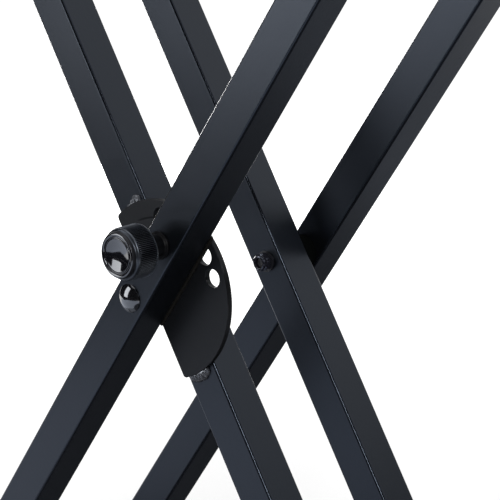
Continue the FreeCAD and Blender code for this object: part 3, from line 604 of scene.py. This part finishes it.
def build_disc():
    """The locking disc with its five lock holes and the pivot hole."""
    low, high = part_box("locking_disc")
    holes = [circle_points(LOCK_HOLE_R, HOLE_RING * math.cos(a), HOLE_RING * math.sin(a))
             for a in LOCK_ANGLES]
    holes.append(circle_points(PIVOT_HOLE_R, 0, 0))
    mesh = plate_curve("disc", [disc_outline()] + holes, (high.y - low.y) / MM / 2, DISC_EDGE)
    mesh.transform(leaned(-1) @ Matrix.Translation((0, (low.y + high.y) / 2, 0)))
    new_piece("disc_plate", soften(mesh, 35), disc_finish(), "inner_frame", ("locking_disc",))


build_disc()


# ------------------------------------------------------------------ weld beads
def weld_bead(name, first, last, lumps, seed):
    """Lumpy bead in the step between the disc's rim and the leg's face.

    It runs between two angles in degrees. lumps are (place along the bead, half
    length, width, height), sizes in mm and places from 0 to 1.
    """
    rng = random.Random(seed)
    phases = [rng.uniform(0, 6.28) for _ in range(3)]
    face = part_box("inner_front_leg")[0].y
    run = math.radians(last - first) * DISC_R
    rim = DISC_R + 0.02
    steps, around = 120, 16
    rows = []
    for i in range(steps + 1):
        u = i / steps
        width = height = 0.0
        for place, reach, wide, tall in lumps:
            far = (u - place) * run / reach
            swell = math.sqrt(max(0.0, 1 - far * far))
            width = max(width, wide * swell)
            height = max(height, tall * swell)
        ripple = 1 + 0.07 * math.sin(u * run * 3.1 + phases[0]) \
            + 0.05 * math.sin(u * run * 5.3 + phases[1])
        width = max(width * ripple, 0.25)
        height = max(height * ripple, 0.05)
        section = []
        for k in range(around + 1):
            a = math.pi / 2 * k / around
            fold = 1 + 0.06 * math.sin(4 * a + phases[2] + u * run * 1.7)
            section.append((rim + width * math.sin(a),
                            -0.01 - height * math.cos(a) ** 0.8 * fold))
        section += [(rim + width * 0.5, 0.02), (rim, 0.02)]
        t = math.radians(first + (last - first) * u)
        rows.append([(r * MM * math.cos(t), face + y * MM, r * MM * math.sin(t))
                     for r, y in section])
    mesh = grid_mesh(name, rows, cap_ends=True)
    mesh.transform(leaned(-1))
    return soften(mesh, 70)


UPPER_LUMPS = ((0.20, 4.6, 5.4, 4.0), (0.42, 3.2, 4.2, 3.2), (0.62, 2.6, 2.7, 1.9),
               (0.82, 3.0, 2.2, 1.5))
LOWER_LUMPS = ((0.16, 3.8, 4.6, 3.4), (0.40, 4.8, 5.8, 4.0), (0.66, 5.0, 5.9, 4.1),
               (0.88, 3.2, 4.4, 3.0))
new_piece("upper_weld", weld_bead("upper_weld", 80.5, 94.9, UPPER_LUMPS, 4), weld_paint,
          "inner_frame", ("disc_welds",))
new_piece("lower_weld", weld_bead("lower_weld", -100.2, -82.8, LOWER_LUMPS, 9), weld_paint,
          "inner_frame")


# ------------------------------------------------------------------------ knob
def dull_skirt(mat, centre):
    """The cap's outer wall is duller than its ring and dish."""
    tree = mat.node_tree
    wall = spread(tree, place_about(tree, centre)[1], *metres(CAP_WALL))
    for label, value in (("Roughness", 0.55), ("Coat Weight", 0.0),
                         ("Specular IOR Level", 0.25)):
        overlay(tree, label, wall, value)
    return mat


def ridge_shade(mat, centre):
    """Grip ridges shinier on their crests, with painted shade in the grooves between them: darker and barely
    reflecting.
    """
    tree = mat.node_tree
    shift, far = place_about(tree, centre + Vector((0, sum(GRIP_ENDS) / 2 * MM, 0)))
    along = calc(tree, "ABSOLUTE", parts_of(tree, shift)["Y"])
    groove_shade = calc(tree, "MULTIPLY", spread(tree, far, *metres(RIDGE_RADII), 1.0, 0.0),
                  spread(tree, along, *metres(GRIP_FADE), 1.0, 0.0))
    # painted shade in the grooves: darker colour, and almost no reflection below
    overlay(tree, "Base Color", groove_shade, (0.0006, 0.0006, 0.0009, 1))
    tree.nodes["Principled BSDF"].inputs["Specular IOR Level"].default_value = 0.9
    overlay(tree, "Specular IOR Level", groove_shade, 0.03)
    return mat


def build_knob():
    """Knurled knob body with its web, and the dished cap on it; y is from the leg's face."""
    centre = Vector((KNOB_AXIS.x, FRONT, KNOB_AXIS.z))
    ridges = 90

    def knurl(r, y, t):
        if not GRIP_ENDS[0] < y < GRIP_ENDS[1] or r < 17:
            return 0.0
        return 0.45 * math.cos(ridges * t) - 0.25

    outer = [(9.7, -27.8), (9.7, -19.3), (9.9, -18.9), (10.3, -18.7), (18.1, -18.7),
             (18.6, -18.85), (18.8, -19.3), (18.8, -19.55), (18.5, -19.85), (18.15, -19.95)]
    outer += [(18.3, y) for y in (-20.1, -20.6, -24.5, -29.0, -33.5, -34.1)]
    outer += [(18.1, -34.3)]
    outer += bend_points((18.1, -34.65), (18.0, -35.5), (17.3, -36.0), 5)
    outer += bend_points((16.9, -36.25), (16.3, -36.6), (16.1, -37.1), 4)
    outer += [(10.5, -37.1), (10.5, -32.8)]
    shell = lathe("knob_shell", outer, centre, ridges * 10, knurl)
    grip = knob_plastic.copy()
    grip.name = "ridged_grip_plastic"
    new_piece("knob_shell", soften(shell, 50), ridge_shade(grip, centre), "knob",
              ("knob_body",))
    web = lathe("knob_web", [(4.05, -28.2), (9.75, -28.2), (9.75, -27.85)], centre, 64)
    new_piece("knob_web", soften(web), knob_plastic, "knob")
    cap = [(8.8, -35.6), (10.2, -35.6), (10.2, -37.1), (15.9, -37.1)]
    cap += bend_points((15.98, -37.25), (16.15, -40.0), (14.4, -40.05), 8)
    cap += bend_points((14.2, -40.04), (13.1, -39.9), (12.75, -38.8), 6)
    cap += [(12.55, -38.72), (12.35, -38.8)]
    cap += bend_points((12.25, -39.05), (12.1, -39.6), (11.7, -39.63), 4)
    dish_r, dish_depth, rings = 11.6, 1.85, 12
    for i in range(1, rings + 1):
        x = 1 - i / rings
        cap.append((max(dish_r * x, 0.02), -39.63 + dish_depth * (1 - x ** 2)))
    cap_mesh = lathe("dished_cap", cap, centre, 128)
    new_piece("dished_cap", soften(cap_mesh, 45), dull_skirt(cap_black, centre), "knob",
              ("knob_cap",))


build_knob()


# --------------------------------------------------------------- rubber pieces
def bar_axis(side, y):
    """The point of a foot bar's axis at y."""
    return Vector((-side * math.sin(HALF_ANGLE) * BAR_REACH * MM, y, FOOT_R * MM))


def foot_cap(side, name, node):
    """Rubber cap with a soft rounded front and grooves round its barrel."""
    low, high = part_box(node)
    length = (high.y - low.y) / MM
    profile = [(0.05, 0.9), (6.0, 0.85), (6.6, 0.5), (7.2, 0.0), (19.0, 0.0)]
    profile += bend_points((20.4, 0.05), (22.9, 0.15), (FOOT_R, 2.6), 6)
    y = 6.0
    while y < length - 8:
        profile += [(FOOT_R, y), (22.3, y + 0.5), (22.3, y + 1.6), (FOOT_R, y + 2.1)]
        y += 5.2
    profile += [(FOOT_R, length - 1.2), (22.6, length - 0.3), (22.0, length), (21.2, length),
                (21.0, length - 0.4), (21.0, 6.0), (0.05, 6.0)]
    mesh = lathe(name, profile, bar_axis(side, low.y), 160)
    new_piece(name, soften(mesh, 40), rubber, bodies[node], (node,))


foot_cap(1, "left_foot_cap", "outer_foot_cap")
foot_cap(-1, "right_foot_cap", "inner_foot_cap")


def leveller(side, name, node):
    """Ribbed rubber cap whose barrel is off the axis on which it turns."""
    low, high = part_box(node)
    mid = (low + high) / 2
    hub = bar_axis(side, low.y)
    barrel = Vector((mid.x, low.y, mid.z))
    length = (high.y - low.y) / MM
    grips = 30
    steps = grips * 6

    def ribs(r, y, t):
        if not 4.8 <= y <= length - 3.9 or r <= 22.9:
            return 0.0
        return -0.6 * max(0.0, math.cos(grips * t)) ** 3

    outside = [(22.2, 0.0), (22.8, 0.3), (FOOT_R, 0.8), (FOOT_R, 1.5), (22.4, 2.2),
               (22.4, 4.0), (FOOT_R, 4.8), (FOOT_R, length - 4.0), (22.9, length - 2.0),
               (22.3, length - 0.7), (21.4, length - 0.1), (20.6, length)]
    inside = [(17.2, length), (16.5, length - 0.6), (16.5, length - 5.7),
              (12.1, length - 5.7), (12.1, 0.0)]
    rows = [ring(hub, 12.1, 0.0, steps)]
    rows += [ring(barrel, r, y, steps, ribs) for r, y in outside]
    rows += [ring(hub, r, y, steps) for r, y in inside]
    new_piece(name, soften(grid_mesh(name, rows), 35), rubber, bodies[node], (node,))


leveller(1, "left_leveller", "outer_leveller_cap")
leveller(-1, "right_leveller", "inner_leveller_cap")


def sleeve_end(name, side, centre, y):
    """Flat end face of a sleeve at y in mm: round outside, square inside."""
    steps = 96
    rows = [[], []]
    for j in range(steps):
        t = 2 * math.pi * j / steps
        c, s = math.cos(t), math.sin(t)
        for row, r in zip(rows, (SLEEVE_BORE / max(abs(c), abs(s)), SLEEVE_LIP)):
            row.append((r * c * MM, 0.0, r * s * MM))
    mesh = grid_mesh(name, rows)
    mesh.transform(Matrix.Translation(centre + Vector((0, y * MM, 0)))
                   @ Matrix.Rotation(side * HALF_ANGLE, 4, "Y"))
    return mesh


def sleeve_pair(side, name, node, start):
    """Ribbed rubber sleeves on a top bar; the front one stands for the node of both."""
    centre = PIVOT + Vector((side * math.sin(HALF_ANGLE), 0, math.cos(HALF_ANGLE))) \
        * TOP_REACH * MM
    centre.y = 0
    profile = [(18.0, start + 0.4), (18.6, start), (19.3, start)]
    profile += bend_points((19.6, start), (20.4, start + 0.1), (SLEEVE_R, start + 1.2), 4)
    y = start + 4.0
    while y < SLEEVE_END - 5:
        profile += [(SLEEVE_R, y), (20.05, y + 0.4), (20.05, y + 0.9), (SLEEVE_R, y + 1.3)]
        y += 3.6
    profile += bend_points((SLEEVE_R, SLEEVE_END - 1.2), (20.4, SLEEVE_END - 0.1),
                           (19.6, SLEEVE_END), 4)
    profile += [(18.6, SLEEVE_END), (18.0, SLEEVE_END - 0.4)]
    for end, sign in (("_front", -1), ("_rear", 1)):
        mesh = lathe(name + end, profile, (0, 0, 0))
        if sign < 0:
            mesh.transform(Matrix.Scale(-1, 4, (0, 1, 0)))
            mesh.flip_normals()
        mesh.transform(Matrix.Translation(centre))
        new_piece(name + end, soften(mesh, 35), sleeve_rubber, bodies[node],
                  (node,) if sign < 0 else ())
        for which, y in (("_in", start), ("_out", SLEEVE_END)):
            face = sleeve_end(name + end + which, side, centre, sign * y)
            new_piece(name + end + which, face, sleeve_rubber, bodies[node])


sleeve_pair(1, "right_sleeve", "outer_top_sleeves", 110.9)
sleeve_pair(-1, "left_sleeve", "inner_top_sleeves", 75.0)


# ----------------------------------------------------------------------- stage
FLOOR_FADE = (0.45, 1.8)    # distances in m between which the floor's glow grows
FLOOR_GLOW = (0.10, 0.58)   # round the stand, where its shadow falls, and far away
GROUND_END = 2.75           # far side of the dark ground


def flat_mesh(name, corners):
    """One flat face."""
    mesh = bpy.data.meshes.new(name)
    mesh.from_pydata(corners, [], [tuple(range(len(corners)))])
    return mesh


def stage_piece(name, mesh, material):
    """A piece of the studio."""
    piece = bpy.data.objects.new(name, mesh)
    bpy.context.scene.collection.objects.link(piece)
    mesh.materials.append(material)
    return piece


def background_rays(tree):
    """1 for camera, glossy and transmission rays, else 0."""
    rays = add_node(tree, "ShaderNodeLightPath").outputs
    seen = calc(tree, "MAXIMUM", rays["Is Camera Ray"], rays["Is Glossy Ray"])
    return calc(tree, "MAXIMUM", seen, rays["Is Transmission Ray"])


def floor_finish():
    """Pale paper: a little uneven, with a white glow where it is the background."""
    mat, tree = new_material("pale_floor")
    tree.nodes.clear()
    tone = mix(tree, "RGBA", noise(tree, 3.0), (0.86, 0.86, 0.86, 1), (0.89, 0.89, 0.89, 1))
    paper = fill(tree, add_node(tree, "ShaderNodeBsdfDiffuse"), {"Color": tone})
    where = add_node(tree, "ShaderNodeTexCoord").outputs["Object"]
    fade = spread(tree, vector(tree, "LENGTH", where), *FLOOR_FADE, *FLOOR_GLOW)
    glow = fill(tree, add_node(tree, "ShaderNodeEmission"),
                {"Strength": calc(tree, "MULTIPLY", background_rays(tree), fade)})
    both = add_node(tree, "ShaderNodeAddShader")
    feed(tree, both.inputs[0], paper.outputs["BSDF"])
    feed(tree, both.inputs[1], glow.outputs["Emission"])
    fill(tree, add_node(tree, "ShaderNodeOutputMaterial"), {"Surface": both.outputs["Shader"]})
    return mat


def cloth_finish(name, level):
    """Woven cloth of an even, slightly bluish grey."""
    mat, tree = new_material(name)
    weave = use_group(tree, WEAVE, weave_scale=60.0)["Weave"]
    tone = mix(tree, "RGBA", weave, (level * 0.82, level * 0.88, level, 1),
               (level * 0.98, level * 1.05, level * 1.2, 1))
    fill(tree, tree.nodes["Principled BSDF"],
         {"Base Color": tone, "Roughness": 1.0, "Specular IOR Level": 0.0})
    return mat


def cloth(name, mesh, level):
    """A studio cloth that only reflections see."""
    piece = stage_piece(name, mesh, cloth_finish(name + "_weave", level))
    piece.visible_camera = False
    piece.visible_diffuse = False
    piece.visible_shadow = False


stage_piece("floor", flat_mesh("floor", [(-6, -6, 0), (6, -6, 0), (6, 6, 0), (-6, 6, 0)]),
            floor_finish())


def round_mat(name, centre, r, z, level):
    """Flat round cloth on the floor."""
    turns = [2 * math.pi * i / 48 for i in range(48)]
    rim = [(centre[0] + r * math.cos(t), centre[1] + r * math.sin(t), z) for t in turns]
    cloth(name, flat_mesh(name, rim), level)


def standing_cloth(name, r, first, last, low, high, level):
    """Curved cloth round the stand between two compass angles, seen from above."""
    steps = 24
    turns = [math.radians(first + (last - first) * i / steps) for i in range(steps + 1)]
    rows = [[(r * math.cos(t), r * math.sin(t), z) for t in turns] for z in (low, high)]
    cloth(name, grid_mesh(name, rows, closed_round=False), level)


def table_edge(name, inner, level):
    """Dark ground beyond an edge: (compass angle, distance) points in front of the stand."""
    rows = [[], []]
    for angle, near in inner:
        t = math.radians(angle)
        for row, r in zip(rows, (near, GROUND_END)):
            row.append((r * math.cos(t), r * math.sin(t), 0.002))
    cloth(name, grid_mesh(name, rows, closed_round=False), level)


table_edge("dark_front", ((168, 1.9), (190, 1.9), (205, 1.75), (224, 1.3), (243, 1.6),
                          (255, 1.7), (270, 1.7), (290, 1.8), (320, 1.9), (372, 1.9)), 0.01)
round_mat("front_paper", (-0.2, -0.95), 1.12, 0.0005, 0.80)
round_mat("rear_mat", (0.05, 0.35), 0.75, 0.001, 0.36)
round_mat("dark_rear_mat", (0.0, 0.22), 0.42, 0.0015, 0.09)
round_mat("dark_right_mat", (0.40, -0.30), 0.42, 0.0012, 0.07)
round_mat("far_right_mat", (1.15, 0.95), 0.65, 0.001, 0.10)
standing_cloth("front_cloth", 2.6, 170, 372, 0.03, 3.4, 0.008)
standing_cloth("right_cloth", 2.6, 12, 66, 0.03, 1.25, 0.05)


def softbox(name, place, width, height, watts):
    """Rectangular area lamp that points at the pivot."""
    data = bpy.data.lights.new(name, "AREA")
    data.shape = "RECTANGLE"
    data.size = width
    data.size_y = height
    data.energy = watts
    lamp = bpy.data.objects.new(name, data)
    lamp.visible_camera = False
    bpy.context.scene.collection.objects.link(lamp)
    lamp.location = place
    lamp.rotation_euler = (PIVOT - Vector(place)).to_track_quat("-Z", "Y").to_euler()


softbox("tall_softbox", (-1.11, -1.45, 0.93), 0.82, 1.4, 17)
softbox("right_softbox", (1.25, -1.22, 1.38), 0.22, 0.9, 16)
softbox("rear_softbox", (-1.9, 1.2, 0.30), 0.9, 0.6, 18)
softbox("top_softbox", (-0.2, 0.6, 2.9), 1.6, 1.2, 18)

# the room: full white where it is seen, about half of that as light
world = bpy.data.worlds.new("studio")
bpy.context.scene.world = world
world.use_nodes = True
tree = world.node_tree
fill(tree, tree.nodes["Background"],
     {"Color": (1, 1, 1, 1),
      "Strength": spread(tree, background_rays(tree), 0.0, 1.0, 0.55, 1.0, "LINEAR")})

# ---------------------------------------------------------------------- camera
# as fitted to the photo, from the pivot's height at the front leg's face
YAW, PITCH, ROLL = 0.7508876, -0.2673708, 0.0184942
CAMERA_PLACE = Vector((0.9500574, FRONT - 0.8953985, PIVOT.z + 0.3935164))
FOCAL_LENGTH = 1938.795 / 500   # in widths of the picture
SENSOR_WIDTH = 36.0
forward = Vector((-math.sin(YAW) * math.cos(PITCH), math.cos(YAW) * math.cos(PITCH),
                  math.sin(PITCH)))
right = Vector((math.cos(YAW), math.sin(YAW), 0))
up = right.cross(forward)
right, up = (right * math.cos(ROLL) + up * math.sin(ROLL),
             up * math.cos(ROLL) - right * math.sin(ROLL))
camera_data = bpy.data.cameras.new("camera")
camera_data.sensor_width = SENSOR_WIDTH
camera_data.lens = FOCAL_LENGTH * SENSOR_WIDTH
camera = bpy.data.objects.new("camera", camera_data)
bpy.context.scene.collection.objects.link(camera)
turn = Matrix((right, up, -forward)).transposed().to_4x4()
camera.matrix_world = Matrix.Translation(CAMERA_PLACE) @ turn
bpy.context.scene.camera = camera

bpy.context.scene.view_settings.view_transform = "Standard"
